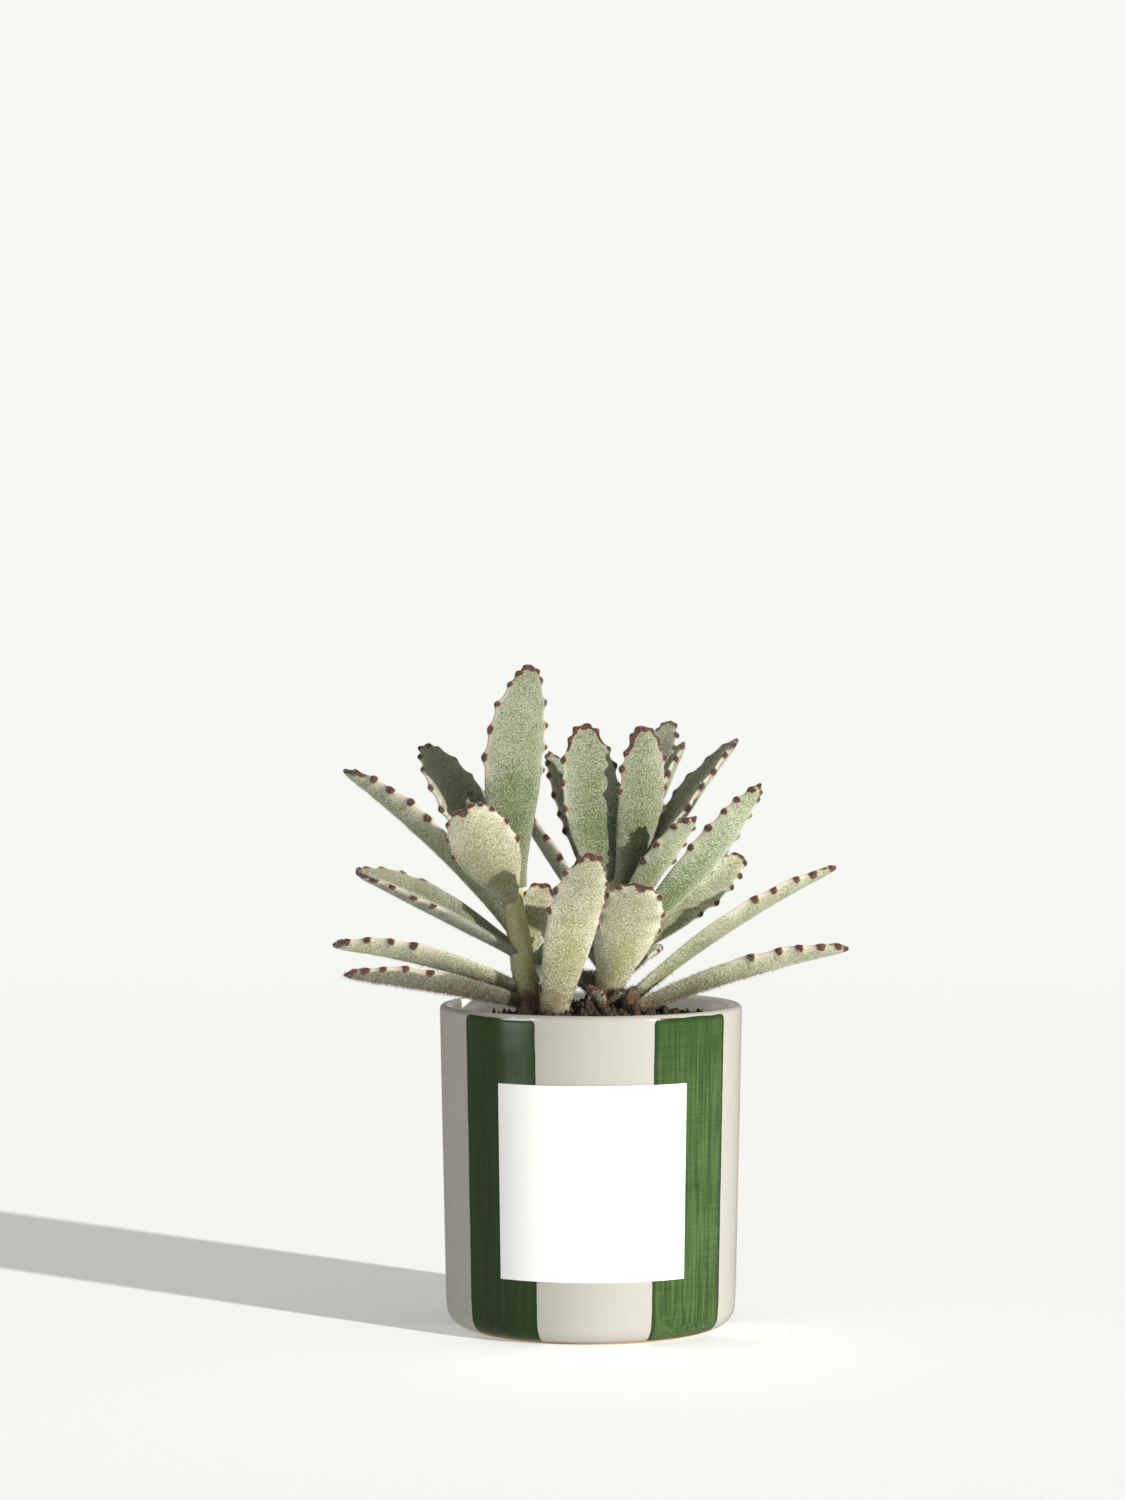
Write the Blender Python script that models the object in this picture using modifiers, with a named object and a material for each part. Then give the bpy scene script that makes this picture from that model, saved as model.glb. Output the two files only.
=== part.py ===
"""Panda plant in its pot: felted, tooth-edged leaves on two woody stems and two short
shoots, potting soil, a glazed cylindrical pot and a paper label. Metres, +Z up, front
faces -Y."""

import math

import bmesh
import bpy
import numpy as np
from mathutils import Vector

MM = 0.001

# Pot: a straight cylinder that narrows a little towards a rounded foot.
POT_HEIGHT = 128.0
POT_RIM_RADIUS = 60.0
POT_FOOT_RADIUS = 57.3
POT_WALL = 4.2
POT_FLOOR = 8.0
FOOT_ROUND = 8.0
FOOT_STEP = 0.8
INNER_ROUND = 6.0
POT_SIDES = 64

# Soil: fills the pot to a few millimetres below the lip and rises round the stems.
SOIL_GAP = 0.35
SOIL_EDGE_Z = 118.2
SOIL_MOUND = 8.0
SOIL_CROWN = 7.0
SOIL_TILT = 0.020
SOIL_SIDES = 44
SOIL_RINGS = 7

# Label: plain paper bent round the front of the wall.
LABEL_WIDTH = 76.4
LABEL_BOTTOM = 25.3
LABEL_TOP = 101.2
LABEL_TURN = 0.7
LABEL_OFF = 0.25
LABEL_THICK = 0.35
LABEL_STRIPS = 22

# Stems: centreline points (x, y, z, radius), from inside the soil to the growing tip.
STEMS = {
    "stem_left": (
        (-22.5, -7.0, 108.0, 4.8),
        (-23.4, -7.9, 119.5, 4.9),
        (-26.0, -8.5, 138.0, 4.6),
        (-28.5, -8.0, 154.0, 4.4),
        (-30.5, -7.0, 168.0, 4.1),
        (-30.4, -6.0, 174.0, 3.2),
        (-30.2, -5.4, 176.5, 2.0),
    ),
    "stem_right": (
        (5.0, -2.0, 106.0, 5.4),
        (5.5, -2.5, 122.0, 5.6),
        (7.0, -2.0, 138.0, 5.0),
        (8.0, -1.0, 154.0, 4.6),
        (8.5, 0.0, 168.0, 4.1),
        (8.8, 0.5, 174.0, 3.2),
        (9.0, 0.8, 176.5, 2.0),
    ),
    "stem_shoot": (
        (-14.5, -17.0, 110.0, 3.8),
        (-14.7, -18.8, 122.0, 4.0),
        (-15.5, -20.0, 131.0, 3.6),
        (-15.5, -20.5, 135.0, 2.4),
    ),
    "stem_bud": (
        (15.4, -7.2, 110.0, 3.6),
        (15.9, -8.2, 122.0, 3.7),
        (16.6, -9.0, 131.0, 3.6),
        (16.8, -9.0, 134.5, 2.2),
    ),
}
STEM_SIDES = 14
SEAT_GAP = 0.3
ROOT_OUT = 2.0

# Leaves: stem, height of the base, turn from the front towards +X, rise at the base,
# arch (change of rise to the tip), sway (change of turn), length, width, roll about the
# leaf's own axis, cup (how far the margins lift), root width, place of the widest part
# and bluntness of the tip.
LEAVES = {
    # left stem, from the soil up
    "leaf_left_01": ("stem_left", 129, -72, 16, -12, 0, 74, 16, 20, 0.30, 8, 0.60, 0.5),
    "leaf_left_02": ("stem_left", 134, -90, 23.4, -20, 0, 77, 16, 22, 0.30, 8, 0.60, 0.5),
    "leaf_left_03": ("stem_left", 149, -76, 31, -8, 0, 72, 21, -22, 0.42, 8, 0.58, 0.4),
    "leaf_left_04": ("stem_left", 157.5, -106.6, 52.6, -22, 0, 95.4, 17.5, 38, 0.25, 5.2, 0.60, 0.35),
    "leaf_left_05": ("stem_left", 164.2, -129.0, 62.0, -14, 0, 80.4, 28, -4, 0.12, 4.5, 0.62, 0.6),
    "leaf_left_06": ("stem_left", 168.9, -42.6, 60.0, -14, 0, 46.3, 25.5, 44, 0.12, 7, 0.54, 0.95),
    "leaf_left_07": ("stem_left", 174, 76, 99, -25, 0, 89, 26, -48, 0.08, 7, 0.58, 0.5),
    "leaf_left_08": ("stem_left", 174.1, -107, 68.5, -8, 0, 41.2, 14, -8, 0.20, 4, 0.62, 0.8),
    "leaf_left_09": ("stem_left", 143, 140.9, 74.6, -10, 0, 34.5, 14, 40, 0.20, 7, 0.62, 0.8),
    "leaf_left_10": ("stem_left", 136, 158, 24, -12, 0, 48, 15, 0, 0.25, 8, 0.62, 0.5),
    "leaf_left_11": ("stem_left", 127.5, 180, 4, 0, 0, 50, 15, 0, 0.25, 7, 0.62, 0.5),
    # right stem, front and sides
    "leaf_right_01": ("stem_right", 133.4, 20.4, 56.8, -12, 0, 56.4, 25.2, -17, 0.10, 9.5, 0.62, 0.85),
    "leaf_right_02": ("stem_bud", 127, 78.3, 23.5, -14, 0, 88, 16, -15, 0.40, 7, 0.58, 0.6),
    "leaf_right_03": ("stem_bud", 133, 100.2, 40.4, -18, 0, 94.4, 15.5, -12, 0.45, 7, 0.48, 0.4),
    "leaf_right_04": ("stem_right", 145.2, 126, 29, 4, 0, 76, 19.5, 35, 0.30, 7, 0.58, 0.6),
    "leaf_right_05": ("stem_right", 149.6, 77.5, 41.1, 15, 0, 88.7, 16, -45, 0.25, 4.5, 0.58, 0.35),
    "leaf_right_06": ("stem_right", 155, 61.1, 60.9, -16, 0, 60.6, 12, -38, 0.30, 4.5, 0.58, 0.5),
    "leaf_right_07": ("stem_right", 158.5, 110.5, 65.0, -20, 0, 91, 18, 5, 0.30, 4.5, 0.58, 0.35),
    # right stem, upright leaves of the crown
    "leaf_right_08": ("stem_right", 168.4, -94.0, 79.2, 6, 0, 70.9, 24, -66, 0.10, 5, 0.56, 0.7),
    "leaf_right_09": ("stem_right", 172, 85.5, 67.8, 26, 0, 67.4, 19, -65, 0.12, 5, 0.60, 0.8),
    "leaf_right_10": ("stem_right", 168, 158, 50.5, -6, 0, 96, 16, 0, 0.25, 4.5, 0.62, 0.6),
    "leaf_right_11": ("stem_right", 174.8, 131.6, 60.0, -6, 0, 67.2, 16, -25, 0.25, 3.4, 0.60, 0.4),
    "leaf_right_12": ("stem_right", 159, -149.5, 59, -8, 0, 83, 15, 0, 0.30, 5.5, 0.60, 0.4),
    "leaf_right_13": ("stem_right", 153.8, -111, 56, -4, 0, 68, 15, 20, 0.35, 5, 0.60, 0.4),
    # right stem, back
    "leaf_right_14": ("stem_right", 151.5, 181, 46, -16, 0, 62, 18, 0, 0.25, 4, 0.64, 0.5),
    "leaf_right_15": ("stem_right", 141, -155, 36, -16, 0, 60, 18, 0, 0.25, 8, 0.62, 0.5),
    "leaf_right_16": ("stem_right", 137, 158, 18, -12, 0, 50, 16, 0, 0.25, 8, 0.62, 0.5),
    "leaf_right_17": ("stem_right", 129, -172, 12, -10, 0, 54, 17, 0, 0.25, 8, 0.62, 0.5),
    # side shoots
    "leaf_shoot_01": ("stem_shoot", 126.4, 32.4, 73.0, -14, 0, 69.2, 21, -17, 0.12, 11, 0.60, 0.7),
    "leaf_shoot_02": ("stem_shoot", 132.5, 175, 64, -14, 0, 26, 9, 0, 0.20, 5, 0.62, 0.8),
    "leaf_bud_01": ("stem_right", 127, -25, 40, -10, 0, 15, 6, 0, 0.20, 4, 0.60, 0.7),
    "leaf_bud_02": ("stem_right", 127, 40, 44, -10, 0, 12, 5, 0, 0.20, 4, 0.60, 0.7),
}
# Leaves whose root sits on another side of the stem than the one they head for.
SEAT_TURNS = {
    "leaf_left_04": -110,
    "leaf_left_05": -152,
    "leaf_left_06": -32,
    "leaf_left_07": 80,
    "leaf_left_08": -105,
    "leaf_left_09": 176,
    "leaf_right_03": 112,
    "leaf_right_05": 86,
    "leaf_right_06": 44,
    "leaf_right_07": 104,
    "leaf_right_08": -84,
    "leaf_right_09": 58,
    "leaf_right_10": 174,
    "leaf_right_11": 142,
    "leaf_right_12": -145,
    "leaf_shoot_01": 30,
}
LEFT_TEETH = (3.5, 10.0, 18.0, 27.0, 37.0)
RIGHT_TEETH = (6.0, 13.5, 22.5, 32.0, 41.0)
TOOTH_REACH = 0.50
TOOTH = 1.3
ROOT_THICK = 4.2
MIDDLE_THICK = 5.2
TIP_THICK = 3.4
LEAF_PLAIN = (0.0, 0.07, 0.15, 0.26, 0.39)
LEAF_END = 0.982


def smooth(t):
    t = min(max(t, 0.0), 1.0)
    return t * t * (3.0 - 2.0 * t)


def half_width(s, width, root, widest, blunt):
    """Half the breadth of the blade at s, from 0 at the root to 1 at the tip."""
    half = width / 2.0
    if s < widest:
        grown = math.sin(0.5 * math.pi * s / widest) ** 1.35
        return root / 2.0 + (half - root / 2.0) * grown
    x = (s - widest) / (1.0 - widest)
    power = 1.5 + 1.1 * blunt
    return half * (1.0 - x ** power) ** (0.86 - 0.40 * blunt)


def half_thickness(s):
    """Half the thickness on the midrib: fullest at mid length, thinnest at the tip."""
    grown = (MIDDLE_THICK - ROOT_THICK) * smooth(s / 0.35)
    shrunk = (MIDDLE_THICK - TIP_THICK) * smooth((s - 0.5) / 0.5)
    return 0.5 * (ROOT_THICK + grown - shrunk)


def teeth_of(order, length):
    """Places of the teeth on the two margins, as distances along the leaf."""
    rng = np.random.default_rng(40 + order)
    sides = []
    for teeth in (LEFT_TEETH, RIGHT_TEETH):
        places = [t + rng.uniform(-1.0, 1.0) for t in teeth]
        sides.append([1.0 - t / length for t in places if t < TOOTH_REACH * length])
    return sides


def midrib(start, turn, rise, arch, sway, length, s):
    """Point on the midrib and the directions along, across and out of the upper face."""
    steps = 24
    point = Vector(start)
    for i in range(steps):
        t = s * (i + 0.5) / steps
        up = math.radians(rise + arch * t)
        side = math.radians(turn + sway * t)
        heading = Vector(
            (math.cos(up) * math.sin(side), -math.cos(up) * math.cos(side), math.sin(up))
        )
        point += heading * (length * s / steps)
    up = math.radians(rise + arch * s)
    side = math.radians(turn + sway * s)
    along = Vector(
        (math.cos(up) * math.sin(side), -math.cos(up) * math.cos(side), math.sin(up))
    )
    across = Vector((math.cos(side), math.sin(side), 0.0))
    return point, along, across, along.cross(across)


def stem_point(stem, z):
    """Centre of a stem at the height z."""
    points = STEMS[stem]
    for low, high in zip(points, points[1:]):
        if z <= high[2]:
            t = (z - low[2]) / (high[2] - low[2])
            return Vector([a + (b - a) * t for a, b in zip(low[:3], high[:3])])
    return Vector(points[-1][:3])


def section(half_left, half_right, thick, cup):
    """One cross-section as (across, out) pairs: upper face left to right, then back below."""
    points = []
    for upper in (True, False):
        places = (-1.0, -0.55, 0.0, 0.55, 1.0)
        for x in places if upper else reversed(places):
            half = half_left if x < 0.0 else half_right
            lift = cup * half * abs(x) ** 1.6
            body = thick * math.sqrt(1.0 - (0.94 * x) ** 2)
            points.append((x * half, lift + (0.8 if upper else -1.2) * body))
    return points


def new_object(name, mesh, collection, material=None):
    obj = bpy.data.objects.new(name, mesh)
    collection.objects.link(obj)
    if material is not None:
        obj.data.materials.append(material)
    return obj


def material(name, colour, roughness, metallic=0.0):
    made = bpy.data.materials.new(name)
    made.use_nodes = True
    shader = made.node_tree.nodes["Principled BSDF"]
    shader.inputs["Base Color"].default_value = (*colour, 1.0)
    shader.inputs["Roughness"].default_value = roughness
    shader.inputs["Metallic"].default_value = metallic
    made.diffuse_color = (*colour, 1.0)
    return made


def loft(name, rings, apex, collection, surface):
    """A closed body through rings of points, flat at its first ring and pointed at the apex."""
    shape = bmesh.new()
    made = [[shape.verts.new(Vector(p) * MM) for p in ring] for ring in rings]
    count = len(rings[0])
    for low, high in zip(made, made[1:]):
        for i in range(count):
            j = (i + 1) % count
            shape.faces.new((low[i], low[j], high[j], high[i]))
    shape.faces.new(list(reversed(made[0])))
    if apex is None:
        shape.faces.new(made[-1])
    else:
        tip = shape.verts.new(Vector(apex) * MM)
        for i in range(count):
            shape.faces.new((made[-1][i], made[-1][(i + 1) % count], tip))
    bmesh.ops.recalc_face_normals(shape, faces=shape.faces)
    for face in shape.faces:
        face.smooth = True
    mesh = bpy.data.meshes.new(name)
    shape.to_mesh(mesh)
    shape.free()
    return new_object(name, mesh, collection, surface)


def make_leaf(order, name, collection, surface):
    stem, height, turn, rise, arch, sway, length, width, roll, cup, root, widest, blunt = LEAVES[name]
    seat = math.radians(SEAT_TURNS.get(name, turn))
    start = stem_point(stem, height) + Vector((math.sin(seat), -math.cos(seat), 0.0)) * ROOT_OUT
    slender = min(1.0, 0.25 + width / 24.0)
    left, right = teeth_of(order, length)
    stations = sorted(
        [(s, 0.0, 0.0) for s in LEAF_PLAIN]
        + [(s, 1.0, -0.25) for s in left]
        + [(s, -0.25, 1.0) for s in right]
        + [(LEAF_END, 0.0, 0.0)]
    )
    roll = math.radians(roll)
    rings = []
    for s, tooth_left, tooth_right in stations:
        point, _, across, out = midrib(start, turn, rise, arch, sway, length, s)
        side = across * math.cos(roll) + out * math.sin(roll)
        face = out * math.cos(roll) - across * math.sin(roll)
        half = half_width(s, width, root, widest, blunt)
        ring = section(
            half + slender * TOOTH * tooth_left,
            half + slender * TOOTH * tooth_right,
            slender * half_thickness(s),
            cup,
        )
        rings.append([point + side * u + face * v for u, v in ring])
    apex, along, _, out = midrib(start, turn, rise, arch, sway, length, 1.0)
    return loft(name, rings, apex, collection, surface)


def make_stem(name, extra, collection, surface=None):
    """A stem swept round its centreline; extra widens it for the seats of the leaves."""
    points = STEMS[name]
    rings = []
    for i, (x, y, z, radius) in enumerate(points):
        before = Vector(points[max(i - 1, 0)][:3])
        after = Vector(points[min(i + 1, len(points) - 1)][:3])
        along = (after - before).normalized()
        side = along.cross(Vector((0.0, 1.0, 0.0))).normalized()
        front = along.cross(side)
        ring = []
        centre = Vector((x, y, z))
        if i == 0:
            centre -= along * extra
        for k in range(STEM_SIDES):
            angle = 2.0 * math.pi * k / STEM_SIDES
            knot = 1.0 + 0.06 * math.sin(3.0 * angle + 1.7 * i)
            reach = radius * knot + extra
            ring.append(centre + side * math.cos(angle) * reach + front * math.sin(angle) * reach)
        rings.append(ring)
    last = Vector(points[-1][:3])
    heading = (last - Vector(points[-2][:3])).normalized()
    return loft(name, rings, last + heading * (1.2 + extra), collection, surface)


def cut(obj, cutter):
    change = obj.modifiers.new("seat", "BOOLEAN")
    change.operation = "DIFFERENCE"
    change.solver = "EXACT"
    change.object = cutter


def arc(cx, cz, radius, start, end, steps):
    points = []
    for i in range(steps + 1):
        a = math.radians(start + (end - start) * i / steps)
        points.append((cx + radius * math.cos(a), cz + radius * math.sin(a)))
    return points


def wall_radius(z):
    """Outer radius of the pot's wall."""
    return POT_FOOT_RADIUS + (POT_RIM_RADIUS - POT_FOOT_RADIUS) * z / POT_HEIGHT


def turned(name, profile, sides, collection, surface):
    """A body of revolution from its profile of (radius, height) points."""
    mesh = bpy.data.meshes.new(name)
    points = [(r * MM, 0.0, z * MM) for r, z in profile]
    mesh.from_pydata(points, [(i, i + 1) for i in range(len(points) - 1)], [])
    obj = new_object(name, mesh, collection, surface)
    spin = obj.modifiers.new("turn", "SCREW")
    spin.axis = "Z"
    spin.angle = 2.0 * math.pi
    spin.steps = sides
    spin.render_steps = sides
    spin.use_merge_vertices = True
    spin.merge_threshold = 0.00005
    spin.use_smooth_shade = True
    return obj


def make_pot(collection, surface):
    lip = POT_WALL / 2.0
    profile = [(0.0, POT_FLOOR)]
    inner_foot = wall_radius(POT_FLOOR) - POT_WALL
    profile += arc(inner_foot - INNER_ROUND, POT_FLOOR + INNER_ROUND, INNER_ROUND, -90, 0, 3)
    profile += [(wall_radius(z) - POT_WALL, z) for z in (60.0, POT_HEIGHT - lip)]
    profile += arc(POT_RIM_RADIUS - lip, POT_HEIGHT - lip, lip, 180, 0, 6)[1:]
    profile += [(wall_radius(z), z) for z in (90.0, 50.0)]
    foot = POT_FOOT_RADIUS - FOOT_ROUND
    profile += arc(foot, FOOT_ROUND + FOOT_STEP, FOOT_ROUND, 0, -90, 5)
    profile += [(foot - 0.6, 0.0), (0.0, 0.0)]
    return turned("pot", profile, POT_SIDES, collection, surface)


def make_label(collection, surface):
    """A sheet bent round the wall, standing a hair off it."""
    shape = bmesh.new()
    rings = []
    for i in range(LABEL_STRIPS + 1):
        arc_part = LABEL_WIDTH * (i / LABEL_STRIPS - 0.5)
        column = []
        for z in (LABEL_BOTTOM, LABEL_TOP):
            middle = math.radians(LABEL_TURN) + arc_part / wall_radius(0.5 * POT_HEIGHT)
            for off in (LABEL_OFF, LABEL_OFF + LABEL_THICK):
                reach = (wall_radius(z) + off) * MM
                place = (reach * math.sin(middle), -reach * math.cos(middle), z * MM)
                column.append(shape.verts.new(place))
        rings.append([column[0], column[1], column[3], column[2]])
    for near, far in zip(rings, rings[1:]):
        for k in range(4):
            m = (k + 1) % 4
            shape.faces.new((near[k], near[m], far[m], far[k]))
    shape.faces.new(rings[0])
    shape.faces.new(list(reversed(rings[-1])))
    bmesh.ops.recalc_face_normals(shape, faces=shape.faces)
    mesh = bpy.data.meshes.new("label")
    shape.to_mesh(mesh)
    shape.free()
    return new_object("label", mesh, collection, surface)


def soil_height(x, y):
    """Uneven top of the soil, higher round the stems and a little higher on the right."""
    radius = math.hypot(x, y)
    mound = SOIL_MOUND * (1.0 - smooth((radius - SOIL_CROWN) / 46.0)) + SOIL_TILT * x
    crumbs = 0.9 * math.sin(0.31 * x + 1.3) * math.sin(0.27 * y - 0.6)
    crumbs += 0.5 * math.sin(0.73 * x - 0.4 * y) * math.cos(0.61 * y + 0.2 * x)
    return SOIL_EDGE_Z + mound + crumbs * smooth((56.0 - radius) / 12.0)


def make_soil(collection, surface):
    """A body that fills the pot, flat below and uneven on top."""
    floor = POT_FLOOR + SOIL_GAP
    side = wall_radius(POT_FLOOR) - POT_WALL
    rings = []
    for r, z in (
        (side - INNER_ROUND - 1.0, floor),
        (side - 2.2, POT_FLOOR + 3.2),
        (side - 0.7, POT_FLOOR + INNER_ROUND + 2.0),
        (wall_radius(60.0) - POT_WALL - SOIL_GAP - 0.1, 60.0),
    ):
        rings.append([(r, z)] * SOIL_SIDES)
    edge = wall_radius(SOIL_EDGE_Z) - POT_WALL - SOIL_GAP - 0.1
    for k in range(SOIL_RINGS):
        r = edge * (1.0 - k / SOIL_RINGS)
        rings.append([(r, None)] * SOIL_SIDES)
    placed = []
    for ring in rings:
        points = []
        for i, (r, z) in enumerate(ring):
            a = 2.0 * math.pi * i / SOIL_SIDES
            x = r * math.sin(a)
            y = -r * math.cos(a)
            points.append((x, y, soil_height(x, y) if z is None else z))
        placed.append(points)
    return loft("soil", placed, (0.0, 0.0, soil_height(0.0, 0.0)), collection, surface)


def main():
    for obj in list(bpy.data.objects):
        bpy.data.objects.remove(obj, do_unlink=True)
    scene = bpy.context.scene.collection
    plant = bpy.data.collections.new("panda_plant")
    cutters = bpy.data.collections.new("cutters")
    scene.children.link(plant)
    scene.children.link(cutters)
    cutters.hide_render = True

    felt = material("leaf_felt", (0.36, 0.43, 0.29), 0.85)
    bark = material("stem_bark", (0.26, 0.22, 0.13), 0.9)
    earth = material("soil", (0.055, 0.035, 0.022), 0.95)
    glaze = material("pot_glaze", (0.80, 0.79, 0.74), 0.12)
    paper = material("label_paper", (0.90, 0.90, 0.89), 0.6)

    make_pot(plant, glaze)
    make_label(plant, paper)
    soil = make_soil(plant, earth)
    seats = {}
    for name in STEMS:
        make_stem(name, 0.0, plant, bark)
        seat = make_stem(name, SEAT_GAP, cutters)
        seat.name = name + "_seat"
        seat.hide_render = True
        seat.display_type = "WIRE"
        seats[name] = seat
        cut(soil, seat)
    for order, name in enumerate(LEAVES):
        leaf = make_leaf(order, name, plant, felt)
        cut(leaf, seats[LEAVES[name][0]])


main()
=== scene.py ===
"""Looks of the potted panda plant: felted leaves with brown-knobbed margins, downy stems,
crumbly soil, a striped glazed pot and its plain paper label."""

import math
from collections import namedtuple

import bpy
import numpy as np
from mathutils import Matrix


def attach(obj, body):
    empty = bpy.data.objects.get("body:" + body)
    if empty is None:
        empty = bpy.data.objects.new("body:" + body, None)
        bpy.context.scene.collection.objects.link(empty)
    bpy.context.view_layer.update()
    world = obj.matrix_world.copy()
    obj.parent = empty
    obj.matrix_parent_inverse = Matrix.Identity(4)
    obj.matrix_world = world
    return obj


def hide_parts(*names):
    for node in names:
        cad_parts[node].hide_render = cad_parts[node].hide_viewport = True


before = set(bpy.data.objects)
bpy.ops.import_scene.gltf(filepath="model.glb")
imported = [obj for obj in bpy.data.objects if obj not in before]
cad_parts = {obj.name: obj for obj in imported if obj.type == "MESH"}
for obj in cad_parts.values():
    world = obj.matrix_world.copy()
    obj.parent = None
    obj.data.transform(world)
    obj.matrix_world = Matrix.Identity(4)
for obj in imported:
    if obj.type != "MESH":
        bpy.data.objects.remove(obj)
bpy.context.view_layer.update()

MM = 0.001
BODY = "root"

# Starts of the random draws.
TOOTH_SEED = 40
KNOB_SEED = 900
LUMP_SEED = 71
CRUMB_SEED = 5

# Pot, in millimetres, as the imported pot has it.
POT_HEIGHT = 128.0
RIM_RADIUS = 60.0
FOOT_RADIUS = 57.3
WALL = 4.2
FLOOR = 8.0
FOOT_ROUND = 8.0
FOOT_STEP = 0.8
INNER_ROUND = 6.0
POT_SIDES = 256
# Heights of the rings inside and outside the wall, closest where the wall meets the lip.
INNER_RINGS = (60.0, 90.0, 110.0, 120.0)
OUTER_RINGS = (125.4, 124.8, 124.1, 123.2, 122.0, 120.0, 110.0, 90.0, 60.0, 30.0, 14.0)

# Painted stripes: middle and half width in degrees round the pot, from the front to +X.
STRIPES = ((-37.5, 16.5), (42.0, 18.0), (112.0, 17.5), (182.0, 17.5), (252.0, 17.5))
STRIPE_TOP = 126.6
STRIPE_CORNER = 2.6
# Painted shade: how much darker the stripes left of the front are painted, on the pot's shaded side.
PAINTED_LEFT_SHADE = 0.78

LABEL_WIDTH = 76.4
LABEL_BOTTOM = 25.3
LABEL_TOP = 101.2
LABEL_TURN = 0.7
LABEL_OFF = 0.25
LABEL_THICK = 0.35
LABEL_GRID = (96, 24)

SOIL_EDGE_Z = 118.2
SOIL_MOUND = 8.0
SOIL_CROWN = 7.0
SOIL_SLOPE = 46.0
SOIL_TILT = 0.020
SOIL_GRID = 150
CRUST_RAISE = 0.35
CRUST_THICK = 3.0
CRUST_GAP = 0.15
CRUST_WAVES = 26
CRUMBS = 900
CRUMB_REACH = 51.0
CRUMB_RAISE = 0.6

# Points of each stem's middle line, from inside the soil up, with the stem's radius there.
STEMS = {
    "stem_left": (
        (-22.5, -7.0, 108.0, 4.8),
        (-23.4, -7.9, 119.5, 4.9),
        (-26.0, -8.5, 138.0, 4.6),
        (-28.5, -8.0, 154.0, 4.4),
        (-30.5, -7.0, 168.0, 4.1),
        (-30.4, -6.0, 174.0, 3.2),
        (-30.2, -5.4, 176.5, 2.0),
    ),
    "stem_right": (
        (5.0, -2.0, 106.0, 5.4),
        (5.5, -2.5, 122.0, 5.6),
        (7.0, -2.0, 138.0, 5.0),
        (8.0, -1.0, 154.0, 4.6),
        (8.5, 0.0, 168.0, 4.1),
        (8.8, 0.5, 174.0, 3.2),
        (9.0, 0.8, 176.5, 2.0),
    ),
    "stem_shoot": (
        (-14.5, -17.0, 110.0, 3.8),
        (-14.7, -18.8, 122.0, 4.0),
        (-15.5, -20.0, 131.0, 3.6),
        (-15.5, -20.5, 135.0, 2.4),
    ),
    "stem_bud": (
        (15.4, -7.2, 110.0, 3.6),
        (15.9, -8.2, 122.0, 3.7),
        (16.6, -9.0, 131.0, 3.6),
        (16.8, -9.0, 134.5, 2.2),
    ),
}

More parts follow.
